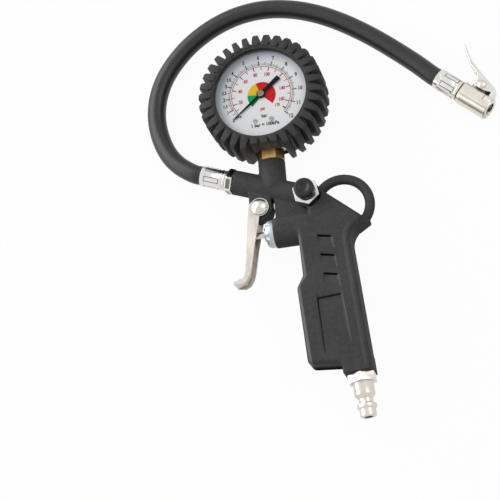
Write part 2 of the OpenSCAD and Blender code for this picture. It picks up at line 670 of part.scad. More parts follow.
// Crimped sleeve along +X from its end wall, with long shallow slots
module ferrule() {
    difference() {
        cup = [[barb_d / 2 + 0.1, 0], [ferrule_d / 2 - 0.4, 0], [ferrule_d / 2, 0.4], [ferrule_d / 2, 1.6],
            [ferrule_d / 2 - 0.25, 1.9], [ferrule_d / 2 - 0.25, 2.6], [ferrule_d / 2, 2.9],
            [ferrule_d / 2, ferrule_l], [ferrule_d / 2 - ferrule_wall, ferrule_l],
            [ferrule_d / 2 - ferrule_wall, 1.2], [barb_d / 2 + 0.1, 1.2]];
        rotate([90, 0, 90]) rotate_extrude() polygon(cup);
        for (a = [0:60:300]) rotate([a, 0, 0]) translate([4.6, -1.5, ferrule_d / 2 - 0.28]) cube([9.6, 3, 2]);
    }
}

module gun_ferrule() color(nickel) in_manifold() translate([-ferrule_s, 0, 0]) mirror([1, 0, 0]) ferrule();

module hose() color(rubber) difference() {
    tube(route, hose_d / 2, 12);
    in_manifold() x_rod(barb_d + 2 * seat_gap, -ferrule_s - ferrule_l + 1.5, -ferrule_s);
    in_chuck() x_rod(barb_d + 2 * seat_gap, 1.5, ferrule_l);
}

// ---- Chuck, along its own axis to the mouth, its lever on the +Y side ----

seal_u = chuck_l - mouth_l - 4;
slot_u = 34.85;

module chuck_ferrule() color(nickel) in_chuck() translate([ferrule_l, 0, 0]) mirror([1, 0, 0]) ferrule();

module chuck_barb() color(brass) in_chuck() difference() {
    union() {
        x_rod(barb_d, 2, ferrule_l + 1);
        x_rod(9.6, ferrule_l + 0.15, ferrule_l + 0.9);
        x_rod(8, ferrule_l + 0.5, ferrule_l + 5);
    }
    x_rod(3.6, 0, 30);
}

module chuck_body() color(nickel) in_chuck() difference() {
    union() {
        intersection() {
            union() {
                x_rod(chuck_w + 1.2, ferrule_l + 1, chuck_l - 0.6);
                x_rod(chuck_w, ferrule_l + 1, chuck_l);
            }
            translate([ferrule_l, -chuck_w, -chuck_w / 2]) cube([chuck_l, chuck_w + 6.2, chuck_w]);
        }
        translate([0, 0, -3.2]) linear_extrude(6.4)
            polygon(concat([[24.3, 4], [32, 4], [31.2, 6.2]], arc(lever_pivot, 2.6, -10, 190, 12)));
    }
    x_rod(8.2, ferrule_l, ferrule_l + 5.2);
    x_rod(3.6, ferrule_l, chuck_l);
    x_rod(9.4, seal_u, seal_u + 4);
    x_rod(2 * mouth_r, chuck_l - mouth_l, chuck_l + 1);
    translate([slot_u, 0.5, -5.2]) cube([2.85, 10, 10.4]);
    for (side = [-1, 1]) translate([ferrule_l, -4.6, side * chuck_w / 2 - 0.4]) cube([chuck_l, 0.8, 0.8]);
    translate([lever_pivot[0], lever_pivot[1], -5]) cylinder(d = 3 + 2 * seat_gap, h = 10);
}

module chuck_seal() color(rubber) in_chuck() x_ring(9.3, 4, seal_u + 1.05, seal_u + 3.95);

// Perforated disc with the pin that opens a tyre valve
module chuck_probe() color(brass) in_chuck() difference() {
    union() {
        x_rod(9.3, seal_u + 0.05, seal_u + 1);
        x_rod(1.6, seal_u + 0.05, seal_u + 3.9);
    }
    for (a = [0:90:270]) rotate([a + 45, 0, 0]) translate([0, 0, 1.7]) x_rod(1.4, seal_u - 1, seal_u + 2);
}

// Folded sheet lever: two side arms, a top strip and a jaw plate
module chuck_lever() color(nickel) in_chuck() difference() {
    union() {
        for (z = [-5, 4]) translate([0, 0, z]) linear_extrude(1) polygon([[36.2, 8.7], [36.2, 10.6], [29.5, 13],
            [23.1, 15], [12.1, 19.2], [11.6, 18], [20.4, 14], [22.3, 10.6], [22.4, 7.8], [24.2, 6.9], [29.6, 6.9]]);
        translate([0, 0, -5]) linear_extrude(10) polygon([[36.2, 9.4], [36.2, 11.1], [35.6, 11.7], [29.5, 13.6],
            [23.1, 15.6], [12.1, 19.8], [3.4, 26], [2.5, 26.4], [1.9, 26], [2.3, 25.2], [11.5, 18.6], [22.7, 14.4],
            [29.1, 12.4], [35, 10.6], [35, 9.4]]);
        translate([35, 0.6, -5]) cube([1.2, 9.2, 10]);
    }
    translate([lever_pivot[0], lever_pivot[1], -6]) cylinder(d = 3 + 2 * run_gap, h = 12);
    x_rod(8.5, 34, 38);
}

module chuck_rivet() color(nickel) in_chuck() translate([lever_pivot[0], lever_pivot[1], 0]) {
    translate([0, 0, -5.5]) cylinder(d = 3, h = 11);
    for (side = [0, 1]) mirror([0, 0, side]) translate([0, 0, 5.08]) rotate_extrude()
        polygon([[0, 0], [2.7, 0], [2.7, 0.3], [1.9, 0.9], [0, 1.1]]);
}

module lever_spring() color(steel) in_chuck() translate([22.3, 14.05, 0]) rotate([90, 0, 0]) spring(1.35, 0.5, 7.8, 6);

gun_body();
gland_nut();
stem_seal();
valve_cage();
valve_stem();
poppet_seal();
valve_spring();
inlet_plug();
inlet_seal();
trigger();
trigger_rivet();
bleed_nut();
bleed_pin();
bleed_seal();
bleed_spring();
bleed_button();
gauge_stem();
gauge_case();
gauge_boot();
bezel_ring();
lens_spacer();
gauge_lens();
dial_plate();
dial_screws();
stop_pin();
bourdon_tube();
movement_frame();
sector_gear();
pinion_shaft();
pointer();
pointer_hub();
hose_nut();
gun_ferrule();
hose();
chuck_ferrule();
chuck_barb();
chuck_body();
chuck_seal();
chuck_probe();
chuck_lever();
chuck_rivet();
lever_spring();
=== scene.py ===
import json
import math

import bmesh
import bpy
import numpy as np
from mathutils import Matrix, Vector


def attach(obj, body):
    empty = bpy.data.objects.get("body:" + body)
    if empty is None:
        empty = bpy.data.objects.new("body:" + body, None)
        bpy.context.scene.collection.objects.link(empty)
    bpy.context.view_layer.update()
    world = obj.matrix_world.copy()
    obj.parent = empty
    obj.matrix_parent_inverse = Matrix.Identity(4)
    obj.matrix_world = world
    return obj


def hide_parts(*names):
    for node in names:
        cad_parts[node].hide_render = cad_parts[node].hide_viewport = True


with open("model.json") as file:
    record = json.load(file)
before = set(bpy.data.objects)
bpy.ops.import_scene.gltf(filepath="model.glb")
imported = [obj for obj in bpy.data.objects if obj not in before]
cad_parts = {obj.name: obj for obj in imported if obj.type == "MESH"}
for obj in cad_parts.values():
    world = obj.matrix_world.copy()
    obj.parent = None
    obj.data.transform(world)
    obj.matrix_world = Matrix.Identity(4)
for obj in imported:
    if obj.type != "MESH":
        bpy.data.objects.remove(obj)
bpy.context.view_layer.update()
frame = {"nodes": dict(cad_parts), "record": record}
mm = 0.001

axisSetup = {
    # where an axis starts, in mm, and its turn about the upright, in degrees
    "gun": {"place": (0, -59.2, 11.0), "turn": -21.0},  # the manifold's
    "chuck": {"place": (109.6, 0, 6.7), "turn": -41.8},
}

cameraSetup = {
    "place": (0.1689, -0.4185, 0.9299),
    "right": (0.9714, -0.0762, -0.2247),
    "up": (0.1437, 0.9425, 0.3017),
    "lens": 115.2,
}


def makeCamera(setup):
    right = Vector(setup["right"]).normalized()
    up = Vector(setup["up"])
    up = (up - right * up.dot(right)).normalized()
    back = right.cross(up)
    turn = Matrix((right, up, back)).transposed().to_4x4()
    data = bpy.data.cameras.new("camera")
    data.lens = setup["lens"]
    data.sensor_width = 36
    data.clip_start, data.clip_end = 0.05, 20
    camera = bpy.data.objects.new("camera", data)
    bpy.context.scene.collection.objects.link(camera)
    camera.matrix_world = Matrix.Translation(setup["place"]) @ turn
    bpy.context.scene.camera = camera


makeCamera(cameraSetup)
bpy.context.scene.view_settings.view_transform = "Standard"
print("camera set")


class Flow:  # a shader socket that takes part in sums with the usual signs
    def __init__(self, wiring, socket):
        self.wiring, self.socket = wiring, socket

    def math(self, operation, first, second=0.0):
        return self.wiring.node("ShaderNodeMath", {"operation": operation}, {0: first, 1: second})

    def __add__(self, other):
        return self.math("ADD", self, other)

    def __sub__(self, other):
        return self.math("SUBTRACT", self, other)

    def __rsub__(self, other):
        return self.math("SUBTRACT", other, self)

    def __mul__(self, other):
        return self.math("MULTIPLY", self, other)

    def most(self, other):
        return self.math("MAXIMUM", self, other)

    def size(self):
        return self.math("ABSOLUTE", self)

    def root(self):
        return self.math("SQRT", self)

    def fold(self, half):  # goes up and down between 0 and half
        return self.math("PINGPONG", self, half)

    def angleFrom(self, other):  # the angle whose sine side is this and whose cosine side is the other
        return self.math("ARCTAN2", self, other)

    __radd__, __rmul__ = __add__, __mul__

    def ramp(self, low, high, start=0.0, end=1.0):  # smooth step from low to high
        return self.wiring.node("ShaderNodeMapRange", {"interpolation_type": "SMOOTHSTEP"}, {
            "Value": self, "From Min": low, "From Max": high, "To Min": start, "To Max": end})

    def strip(self, middle, half, edge=0.4):  # 1 within half of the middle, 0 beyond an edge more
        return (self - middle).size().ramp(half, half + edge, 1.0, 0.0)

    def blend(self, first, second):  # from the first colour to the second by this amount
        # sockets 6 and 7 are the node's two colours, and 2 is its colour output
        return self.wiring.node("ShaderNodeMix", {"data_type": "RGBA"}, {
            0: self, 6: paint(first), 7: paint(second)}, 2)


def paint(colour):
    return colour if isinstance(colour, Flow) else (*colour[:3], 1.0)


def shade(colour, amount):
    return tuple(min(1.0, c * amount) for c in colour)


class Wiring:  # the nodes of one material or world
    def __init__(self, tree):
        self.tree = tree

    def node(self, kind, settings=None, sockets=None, out=0):
        made = self.tree.nodes.new(kind)
        for key, value in (settings or {}).items():
            setattr(made, key, value)
        for key, value in (sockets or {}).items():
            if isinstance(value, Flow):
                self.tree.links.new(value.socket, made.inputs[key])
            else:
                made.inputs[key].default_value = value
        return Flow(self, made.outputs[out])


class Finish(Wiring):  # one material on a Principled shader, patterned on Object coordinates
    def __init__(self, name, **fixed):
        self.material = bpy.data.materials.new(name)
        self.material.use_nodes = True
        super().__init__(self.material.node_tree)
        self.shader = self.tree.nodes["Principled BSDF"]
        for key, value in fixed.items():
            self.shader.inputs[key.replace("_", " ")].default_value = value
        self.place = self.node("ShaderNodeTexCoord", out="Object")

    def noise(self, scale, detail=3.0, stretch=None):
        source = self.place
        if stretch:
            source = self.node("ShaderNodeMapping", {}, {"Vector": self.place, "Scale": stretch})
        return self.node("ShaderNodeTexNoise", {}, {"Vector": source, "Scale": scale, "Detail": detail})

    def axes(self):
        return [self.node("ShaderNodeSeparateXYZ", {}, {0: self.place}, out) for out in (0, 1, 2)]

    def frameAxes(self, place, turn):  # x, y and z in mm, in a frame moved and turned about the upright
        moved = self.node("ShaderNodeMapping", {"vector_type": "TEXTURE"}, {
            "Vector": self.place, "Location": [p * mm for p in place],
            "Rotation": (0, 0, math.radians(turn))})
        return [self.node("ShaderNodeSeparateXYZ", {}, {0: moved}, out) * 1000 for out in (0, 1, 2)]

    def hollows(self, reach, low=0.35, high=0.95):  # 1 deep in slots and corners, 0 in the open; the mask for painted shade in hollows
        openness = self.node("ShaderNodeAmbientOcclusion", {"samples": 6}, {"Distance": reach}, "AO")
        return 1 - openness.ramp(low, high)

    def feed(self, name, flow):
        self.tree.links.new(flow.socket, self.shader.inputs[name])
        return self

    def bump(self, flow, strength, depth):
        return self.feed("Normal", self.node("ShaderNodeBump", {}, {
            "Strength": strength, "Distance": depth, "Height": flow}))


metalSetup = {
    "tintScale": 90,
    "hollowShadeReach": 0.0016,
    "hollowShade": 0.30,  # how much colour stays under the painted shade in the hollows
    "shadeAndMark": 0.22,  # and under a dark mask, which paints shade, reflections and drawn lines
    "roughSpread": (0.75, 1.35),
    "bumpStrength": 0.08,
    "bumpDepth": 0.00005,
}


def metalFinish(name, colour, roughness, tint=0.10, grain=900, stretch=None, hollowShade=True, dark=None):
    made = Finish(name, Metallic=1.0)
    broad = made.noise(metalSetup["tintScale"], 2)
    fine = made.noise(grain, 4, stretch)
    base = (broad * 0.7 + fine * 0.3).ramp(0.3, 0.7).blend(shade(colour, 1 - tint), colour)
    # painted shade: darker in slots and corners, from the ambient occlusion mask
    if hollowShade:
        base = made.hollows(metalSetup["hollowShadeReach"]).blend(base, shade(colour, metalSetup["hollowShade"]))
    # the dark mask paints shade, dark reflections and drawn lines into the colour, as each finish gives it
    if dark:
        base = dark(made).blend(base, shade(colour, metalSetup["shadeAndMark"]))
    made.feed("Base Color", base)
    smoothest, roughest = (roughness * part for part in metalSetup["roughSpread"])
    made.feed("Roughness", (fine * 0.6 + broad * 0.4).ramp(0.25, 0.75, smoothest, roughest))
    made.bump(fine, metalSetup["bumpStrength"], metalSetup["bumpDepth"])
    return made.material


def rubberFinish(name, colour, roughness, grain, depth, gloss=0.25, lift=1.3):
    made = Finish(name, Specular_IOR_Level=gloss)
    broad = made.noise(60, 3)
    fine = made.noise(grain, 5)
    mottle = (broad * 0.6 + fine * 0.4).ramp(0.3, 0.7)
    made.feed("Base Color", mottle.blend(shade(colour, 0.82), shade(colour, lift)))
    made.feed("Roughness", fine.ramp(0.2, 0.8, roughness - 0.08, roughness + 0.1))
    made.bump(fine, 0.5, depth)
    return made.material


slotSetup = {
    "slots": 6,
    "radius": 6.6,
    "half": 1.5,
    "span": 4.8,  # half the length of a slot
    "line": (0.12, 0.39, 1.0, 0.0),  # fades out this far from a slot's edge
    "gunMiddle": -40.4,  # along each ferrule's axis
    "chuckMiddle": 9.4,
}


def aroundAxis(y, z, count):
    # the angle round an axis, folded: it rises from 0 to 0.5 and falls back in each of count equal shares
    return (z.angleFrom(y) * (count / 2 / math.pi) + count).fold(0.5)


def slotLines(made, axis, middle):
    # long slots round an axis: 1 within a line's width of a slot's edge, 0 elsewhere; the dark line draws
    # each slot's edge and paints its shade
    x, y, z = made.frameAxes(**axisSetup[axis])
    count = slotSetup["slots"]
    across = aroundAxis(y, z, count) * (2 * math.pi / count * slotSetup["radius"])
    along = (x - middle).size()
    edge = (across - slotSetup["half"]).most(along - slotSetup["span"]).size()
    return edge.ramp(*slotSetup["line"])


nutSetup = {
    "flat": (-28.7, 1.3),  # middle of the flats along the axis, and half their length
    "corner": (0.36, 0.43, 1.0, 0.0),  # where a flat's painted dark reflection gives way to the painted bright corner, in the folded angle
}


def nutFacets(made):
    # painted reflections: dark flats between the bright corners and rims of the hose nut's hexagon
    x, y, z = made.frameAxes(**axisSetup["gun"])
    return x.strip(*nutSetup["flat"]) * aroundAxis(y, z, 6).ramp(*nutSetup["corner"])


chuckMarks = {
    # painted shade along the body and a drawn seam; the strips in mm: middle, half width and soft edge
    "line": (-2.9, 0.2, 0.25),
    "lineShade": 0.45,
    "groove": (-5.5, 0.8, 0.3),
    "grooveShade": 0.5,
    "grooveStart": (19.2, 19.8),
    "seam": (33.2, 0.15, 0.2),
    "seamFrom": (0.6, 0.9),  # sideways
    "seamAbove": (2.0, 2.4),
}


def chuckBands(made):
    # painted shade: a groove's shadow and a thin dark line along the body; and a short seam near the mouth
    x, y, z = made.frameAxes(**axisSetup["chuck"])
    line = y.strip(*chuckMarks["line"]) * chuckMarks["lineShade"]
    groove = y.strip(*chuckMarks["groove"]) * chuckMarks["grooveShade"]
    seam = x.strip(*chuckMarks["seam"]) * y.ramp(*chuckMarks["seamFrom"]) * z.ramp(*chuckMarks["seamAbove"])
    return (groove.most(line) * x.ramp(*chuckMarks["grooveStart"])).most(seam)


nickel = metalFinish("nickel", (0.68, 0.65, 0.59), 0.26)
nutNickel = metalFinish("nutNickel", (0.80, 0.78, 0.74), 0.22, dark=nutFacets)
chuckNickel = metalFinish("chuckNickel", (0.78, 0.73, 0.66), 0.24, dark=chuckBands)
sheetNickel = metalFinish("sheetNickel", (0.60, 0.56, 0.52), 0.34, grain=1200, stretch=(1, 0.12, 1))
brightNickel = metalFinish("brightNickel", (0.76, 0.74, 0.71), 0.18)
rivetNickel = metalFinish("rivetNickel", (0.66, 0.64, 0.61), 0.28, hollowShade=False)
gunFerruleNickel = metalFinish("gunFerruleNickel", (0.78, 0.76, 0.73), 0.18,
                               dark=lambda made: slotLines(made, "gun", slotSetup["gunMiddle"]))
chuckFerruleNickel = metalFinish("chuckFerruleNickel", (0.78, 0.76, 0.73), 0.18,
                                 dark=lambda made: slotLines(made, "chuck", slotSetup["chuckMiddle"]))
zinc = metalFinish("zinc", (0.49, 0.51, 0.54), 0.48, grain=1500, hollowShade=False)
steel = metalFinish("steel", (0.55, 0.55, 0.56), 0.32, hollowShade=False)
brass = metalFinish("brass", (1.0, 0.66, 0.25), 0.34, tint=0.16, hollowShade=False)
pinMetal = metalFinish("pinMetal", (0.60, 0.58, 0.53), 0.3)
paleBrass = metalFinish("paleBrass", (0.76, 0.68, 0.52), 0.34, tint=0.15)
sealRubber = rubberFinish("sealRubber", (0.02, 0.02, 0.02), 0.55, 2500, 0.00004)
bezelBlack = rubberFinish("bezelBlack", (0.016, 0.017, 0.020), 0.4, 3000, 0.00002, 0.4)
spacerGrey = rubberFinish("spacerGrey", (0.10, 0.11, 0.13), 0.4, 3000, 0.00002, 0.4)
pointerBlack = rubberFinish("pointerBlack", (0.008, 0.008, 0.008), 0.5, 3000, 0.00002, 0.1)
bootRubber = rubberFinish("bootRubber", (0.036, 0.036, 0.035), 0.56, 2600, 0.00006, 0.25)
hoseRubber = rubberFinish("hoseRubber", (0.016, 0.016, 0.017), 0.36, 1800, 0.00004, 0.45, 1.2)
buttonRubber = rubberFinish("buttonRubber", (0.007, 0.007, 0.008), 0.36, 2600, 0.00003, 0.36)
print("materials made")


def placePiece(name, mesh, body, material, stands=()):
    piece = bpy.data.objects.new(name, mesh)
    bpy.context.scene.collection.objects.link(piece)
    mesh.materials.clear()
    mesh.materials.append(material)
    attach(piece, body)
    if stands:
        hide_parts(*stands)
    return piece


def gridMesh(name, points, closed=False):
    # a grid of points, rows by columns, joined into quads; closed joins the last column to the first
    rows, columns = points.shape[:2]
    index = np.arange(rows * columns).reshape(rows, columns)
    if closed:
        index = np.hstack([index, index[:, :1]])
    quads = np.stack([index[:-1, :-1], index[:-1, 1:], index[1:, 1:], index[1:, :-1]], axis=-1).reshape(-1, 4)
    mesh = bpy.data.meshes.new(name)
    mesh.from_pydata(points.reshape(-1, 3).tolist(), [], quads.tolist())
    return mesh


hoseSetup = {
    "diameter": 12.0,
    "gunStart": 31.0,  # along the manifold's axis, to the ferrule's inner end
    "ferruleLength": 17.0,
    "seat": 1.5,
    "straight": 5.0,  # how far it goes straight on from a ferrule
    "samples": 9,
    "sides": 36,
}
loopPoints = [
    (-55.5, -36, 10.2), (-61.8, -30, 9), (-67.2, -22, 7.8), (-71.2, -12, 6.8), (-73.4, -1.5, 6.2),
    (-73.6, 9, 6.1), (-71.4, 20.5, 6.1), (-66.4, 32, 6.1), (-57.8, 43.5, 6.1), (-46.2, 54, 6.1),
    (-31, 62.8, 6.1), (-14.2, 68, 6.1), (3.2, 69, 6.1), (20, 66, 6.1), (36, 60, 6.1),
    (50.4, 52, 6.1), (63.5, 42.8, 6.1), (75.5, 33, 6.2), (86.7, 22.8, 6.3), (97, 12.8, 6.5),
]


def axisLine(name):  # the start of an axis and its direction
    turn = math.radians(axisSetup[name]["turn"])
    return np.array(axisSetup[name]["place"]), np.array([math.cos(turn), math.sin(turn), 0])


def hoseRoute(setup):
    # from the gun's ferrule round the loop, and into the chuck's ferrule
    base, back = axisLine("gun")
    chuck, along = axisLine("chuck")
    start, end = setup["gunStart"] + setup["seat"], setup["gunStart"] + setup["ferruleLength"]
    rear = setup["ferruleLength"] - setup["seat"]
    leave = [base - back * start, base - back * end, base - back * (end + setup["straight"])]
    arrive = [chuck - along * setup["straight"], chuck, chuck + along * rear]
    return np.array([*leave, *loopPoints, *arrive]) * mm


def smoothPath(points, samples):
    # Catmull-Rom: each span is a cubic through its two ends, with slopes from their neighbours
    padded = np.vstack([2 * points[0] - points[1], points, 2 * points[-1] - points[-2]])
    a, b, c, d = (p[:, None, :] for p in (padded[:-3], padded[1:-2], padded[2:-1], padded[3:]))
    t = np.linspace(0, 1, samples, endpoint=False)[None, :, None]
    spans = 0.5 * (2 * b + (c - a) * t + (2 * a - 5 * b + 4 * c - d) * t ** 2
                   + (3 * b - a - 3 * c + d) * t ** 3)
    return np.vstack([spans.reshape(-1, 3), points[-1:]])


def sweptTube(name, path, radius, sides):
    # a circle carried along the path, square to it, its side always level; ends shrink to a point
    tangent = np.gradient(path, axis=0)
    tangent /= np.linalg.norm(tangent, axis=1)[:, None]
    side = np.cross(tangent, [0, 0, 1.0])
    side /= np.linalg.norm(side, axis=1)[:, None]
    rise = np.cross(side, tangent)
    turn = np.linspace(0, 2 * np.pi, sides, endpoint=False)
    ring = np.cos(turn)[None, :, None] * side[:, None] + np.sin(turn)[None, :, None] * rise[:, None]
    walls = path[:, None] + radius * ring
    caps = [np.repeat(path[i][None, None], sides, axis=1) for i in (0, -1)]
    return gridMesh(name, np.vstack([caps[0], walls, caps[1]]), closed=True)


sharpAngle = 40


def tidyMesh(mesh, outward=True):
    # doubled points joined, faces turned outwards, and smooth but for edges past the sharp angle
    work = bmesh.new()
    work.from_mesh(mesh)
    bmesh.ops.remove_doubles(work, verts=work.verts, dist=1e-6)
    bmesh.ops.dissolve_degenerate(work, edges=work.edges, dist=1e-7)
    if outward:
        bmesh.ops.recalc_face_normals(work, faces=work.faces)
    work.to_mesh(mesh)
    work.free()
    mesh.shade_smooth()
    mesh.set_sharp_from_angle(angle=math.radians(sharpAngle))
    return mesh


route = hoseRoute(hoseSetup)
hosePath = smoothPath(route, hoseSetup["samples"])
hoseMesh = tidyMesh(sweptTube("hoseSkin", hosePath, hoseSetup["diameter"] / 2 * mm, hoseSetup["sides"]))
hoseSkin = placePiece("hoseSkin", hoseMesh, "gun", hoseRubber, ["hose"])
chuckNodes = [n for n in frame["nodes"] if n.startswith("chuck_") or n == "lever_spring"]

edgeSetup = {
    # node: (edge width in mm, material, slot, body)
    "trigger": (0.30, sheetNickel, "nickel", "trigger"),
    "trigger_rivet": (0.12, rivetNickel, "nickel", "gun"),
    "gland_nut": (0.08, zinc, "zinc", "gun"),
    "inlet_plug": (0.22, nickel, "nickel", "gun"),
    "bleed_nut": (0.22, brightNickel, "nickel", "gun"),
    "gauge_stem": (0.25, brass, "brass", "gun"),
    "gauge_boot": (0.42, bootRubber, "boot_rubber", "gun"),
    "hose_nut": (0.35, nutNickel, "nickel", "gun"),
    "gun_ferrule": (0.10, gunFerruleNickel, "nickel", "gun"),
    "chuck_ferrule": (0.10, chuckFerruleNickel, "nickel", "gun"),
    "chuck_body": (0.25, chuckNickel, "nickel", "gun"),
    "chuck_lever": (0.22, brightNickel, "nickel", "lever"),
    "chuck_rivet": (0.12, rivetNickel, "nickel", "gun"),
}


softSetup = {
    "join": 2e-6,  # points nearer than this, in metres, become one
    "flat": 1.0,  # faces within this angle become one
    "bevelAngle": 34,
    "sharpAngle": 50,
    "segments": 2,
}


def softenedCopy(node, setup):
    # the node's own mesh with flat faces joined, ready for a bevel
    mesh = frame["nodes"][node].data.copy()
    mesh.name = node + "Soft"
    work = bmesh.new()
    work.from_mesh(mesh)
    bmesh.ops.remove_doubles(work, verts=work.verts, dist=setup["join"])
    flat = math.radians(setup["flat"])
    bmesh.ops.dissolve_limit(work, angle_limit=flat, verts=work.verts, edges=work.edges)
    work.to_mesh(mesh)
    work.free()
    return mesh


for node, (width, material, slotName, body) in edgeSetup.items():
    piece = placePiece(node + "Soft", softenedCopy(node, softSetup), body, material, [node])
    bevel = piece.modifiers.new("edge", "BEVEL")
    bevel.width, bevel.segments = width * mm, softSetup["segments"]
    bevel.limit_method, bevel.angle_limit = "ANGLE", math.radians(softSetup["bevelAngle"])
    bevel.use_clamp_overlap, bevel.miter_outer = True, "MITER_ARC"
    piece.data.shade_smooth()
    piece.data.set_sharp_from_angle(angle=math.radians(softSetup["sharpAngle"]))
print("softened copies made")

buttonSetup = {
    "along": 23.4,  # on the manifold's axis
    "radius": 6.3,
    "bottom": 14.72,  # both above the manifold's axis
    "top": 20.4,
    "dishRadius": 4.1,
    "dishDepth": 0.9,
    "shoulder": 1.5,
    "hollowRadius": 4.9,  # the skirt's inside, and how far it goes up
    "hollowDepth": 2.4,
    "rim": 0.3,
    "sides": 72,
}


def buttonCap(setup):
    # a profile turned about the button's axis: skirt, round shoulder, rim and a shallow dish
    reach, base, top = setup["radius"], setup["bottom"], setup["top"]
    inside, roof, rim = setup["hollowRadius"], base + setup["hollowDepth"], setup["rim"]
    # the shoulder is a quarter circle; the dish sinks along half a cosine wave, level in its inner third
    shoulder = [(reach - setup["shoulder"] * (1 - np.cos(a)), top - setup["shoulder"] * (1 - np.sin(a)))
                for a in np.linspace(0, np.pi / 2, 9)]
    sink = [(w, 0.5 - 0.5 * np.cos(np.pi * min(1, w * 1.5))) for w in np.linspace(0, 1, 12)]
    dish = [(setup["dishRadius"] * (1 - w), top - setup["dishDepth"] * part) for w, part in sink]
    profile = np.array([(0.0, roof), (inside, roof), (inside, base), (reach - rim, base), (reach, base + rim),
                        *shoulder, *dish])
    around = np.linspace(0, 2 * np.pi, setup["sides"], endpoint=False)
    points = np.stack([profile[:, :1] * np.cos(around), profile[:, :1] * np.sin(around),
                       np.repeat(profile[:, 1:], setup["sides"], axis=1)], axis=-1)
    mesh = gridMesh("buttonCap", points * mm, closed=True)
    axis = Matrix.Translation([p * mm for p in axisSetup["gun"]["place"]])
    turn = Matrix.Rotation(math.radians(axisSetup["gun"]["turn"]), 4, "Z")
    mesh.transform(axis @ turn @ Matrix.Translation((setup["along"] * mm, 0, 0)))
    return tidyMesh(mesh)


placePiece("buttonCap", buttonCap(buttonSetup), "bleed", buttonRubber, ["bleed_button"])
print("button turned")

castSetup = {
    "voxel": 0.45,
    "smoothing": 6,
    "mostFaces": 185000,
    "colour": (0.058, 0.058, 0.059),
    # the painted highlight's colour
    "rim": (0.17, 0.17, 0.172),
    "sheen": 0.2,
    # the painted shade's colour, in the hollows and under the dark mask
    "dark": (0.004, 0.004, 0.004),
    "hollows": (0.0022, 0.35, 0.85),  # painted shade in the hollows: reach in metres, and the openness where they start and end
    "bumpStrength": 0.45,
    "bumpDepth": 0.00012,
}

gripPaintedLightSetup = {
    # where the grip's highlights and shade are painted, in the grip's own frame
    "rake": 4,
    # strips as middle, half width and soft edge, ramps as start, end and the values there, all in mm
    "frontEdge": (-68.5, -61.5, 6.9, 12.1),  # x of the front edge, which steps between two heights
    "edgeHighlight": (0, 0.6, 0.6),
    "edgeHighlightEnd": (-38, -33, 1.0, 0.0),
    "footWidth": (0, 24.2),
    "footSlope": 0.155,
    "footTop": (-115.7, -115.3, 1.0, 0.0),
    "footFade": (-4, 5, 0.92, 0.0),  # painted shadow under the foot, darkest at the table
    "face": (7.6, 8.2),
    "rowSlope": 0.28,
    "rowStart": 31.68,  # from the frame's start down to the first recess
    "rowHalf": 6.175,  # half the step from one recess to the next
    "rows": (-16.8, 17.2),
    "topShift": 0.5,
    "topHeight": (0, 0.4),
    "topWidth": (27.5, 3.9),
    "wallShift": 4.4,
    "wallHeight": (0, 3.0, 0.6),
    "wallWidth": (32.1, 0.3),
    "wallLight": 0.6,
    "panelTop": (-78.2, 0.25),
    "panelTopWidth": (24.3, 7.3),
    "panelLeft": (19.3, 0.15),
    "panelLeftHeight": (-94, 16, 4),
    "panelLeftLean": 0.0275,
    "panelRight": (30.25, 0.15),
    "panelRightHeight": (-92, 13, 6),
    "panelRightLean": 0.025,
    "panelDark": 0.75,
}


def gripMasks(made, painted):
    # in the grip's own frame: a painted highlight along the front edge, on the recesses' right walls and the
    # panel's right edge, painted shade on the recesses' upper walls, the panel's top and left edges and under
    # the foot
    x, y, z = made.frameAxes(axisSetup["gun"]["place"], painted["rake"])
    edgeHighlight = (x - y.ramp(*painted["frontEdge"])).strip(*painted["edgeHighlight"]) * y.ramp(*painted["edgeHighlightEnd"])
    footShadow = x.strip(*painted["footWidth"]) * (y + x * painted["footSlope"]).ramp(*painted["footTop"])
    footShadow = footShadow * z.ramp(*painted["footFade"])
    down = y + x * painted["rowSlope"] + painted["rowStart"]
    face = z.ramp(*painted["face"])
    rows = face * down.strip(*painted["rows"])
    top = (down + painted["topShift"]).fold(painted["rowHalf"]).strip(*painted["topHeight"])
    top = top * x.strip(*painted["topWidth"])
    wall = (down + painted["wallShift"]).fold(painted["rowHalf"]).strip(*painted["wallHeight"])
    wall = wall * x.strip(*painted["wallWidth"])
    left = (x - y * painted["panelLeftLean"]).strip(*painted["panelLeft"]) * y.strip(*painted["panelLeftHeight"])
    panel = (y.strip(*painted["panelTop"]) * x.strip(*painted["panelTopWidth"])).most(left)
    right = (x + y * painted["panelRightLean"]).strip(*painted["panelRight"])
    right = right * y.strip(*painted["panelRightHeight"])
    dark = footShadow.most(top * rows).most(panel * face * painted["panelDark"])
    light = edgeHighlight.most((wall * rows).most(right * face) * painted["wallLight"])
    return light, dark


def castFinish(setup, painted):
    made = Finish("castBlack", Specular_IOR_Level=0.0, Coat_Roughness=0.42)
    broad = made.noise(45, 3)
    grain = made.noise(1500, 5)
    coarse = made.noise(500, 3)
    base = (broad * 0.5 + coarse * 0.5).ramp(0.32, 0.68).blend(
        shade(setup["colour"], 0.86), shade(setup["colour"], 1.18))
    light, dark = gripMasks(made, painted)
    # painted highlight along the edges and walls, painted shade in the hollows and under the dark mask
    base = (light * 0.75).blend(base, setup["rim"])
    made.feed("Base Color", made.hollows(*setup["hollows"]).most(dark).blend(base, setup["dark"]))
    made.feed("Coat Weight", (1 - dark) * setup["sheen"])
    made.feed("Roughness", (grain * 0.5 + broad * 0.5).ramp(0.3, 0.7, 0.40, 0.55))
    made.bump(grain * 0.6 + coarse * 0.4, setup["bumpStrength"], setup["bumpDepth"])
    return made.material


def bakeModifiers(piece):
    # applies a piece's modifiers and counts its triangles
    graph = bpy.context.evaluated_depsgraph_get()
    piece.data = bpy.data.meshes.new_from_object(piece.evaluated_get(graph))
    piece.modifiers.clear()
    return sum(len(p.vertices) - 2 for p in piece.data.polygons)


